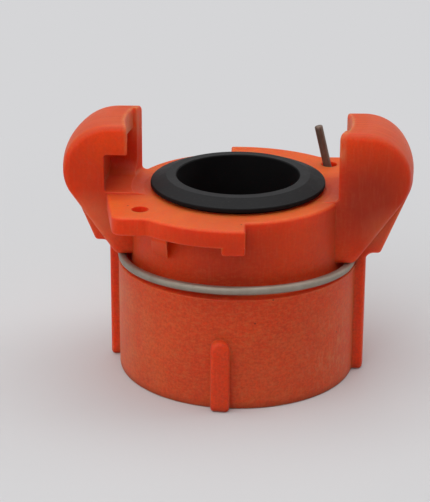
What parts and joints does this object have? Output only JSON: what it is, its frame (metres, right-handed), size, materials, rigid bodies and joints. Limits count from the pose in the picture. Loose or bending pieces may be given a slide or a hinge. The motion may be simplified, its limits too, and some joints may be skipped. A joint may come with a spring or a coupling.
{
  "type": "threaded quick coupling",
  "caption": "Claw-type plastic quick coupling half with an internal pipe thread, a rubber face gasket and a sprung wire lock whose pin snaps into the mating half.",
  "frame": {"origin": "on the coupling's axis at the bottom face of the skirt, where the pipe screws in, which is also the middle of the part's box at its lowest level", "axes": "+Z along the axis from the pipe's side to the coupling face, +X from the axis to the right claw, so the claws stand on the X axis, and -Y towards the empty lock hole's ear and the side that the picture shows"},
  "size_m": [0.0998, 0.0746, 0.0742],
  "materials": {
    "moulded_nylon": "satin, injection moulded",
    "gasket_rubber": "matte, moulded",
    "seal_rubber": "matte, cut from sheet",
    "spring_steel": "drawn wire, slightly stained"
  },
  "bodies": {
    "coupling": {"coupling_body": "moulded_nylon", "gasket": "gasket_rubber", "pipe_seal": "seal_rubber", "lock_spring_ring": "spring_steel"},
    "lock_arm": {"lock_spring_arm": "spring_steel"}
  },
  "joints": [
    {"name": "lock_press", "type": "hinge", "parent": "coupling", "child": "lock_arm", "pos_m": [-0.02921, 0.0156, 0.03438], "axis": [-0.0702, 0.9975, 0], "range_deg": [0, 5.8], "stiffness_Nm_per_rad": 1, "springref_deg": -1.72}
  ]
}
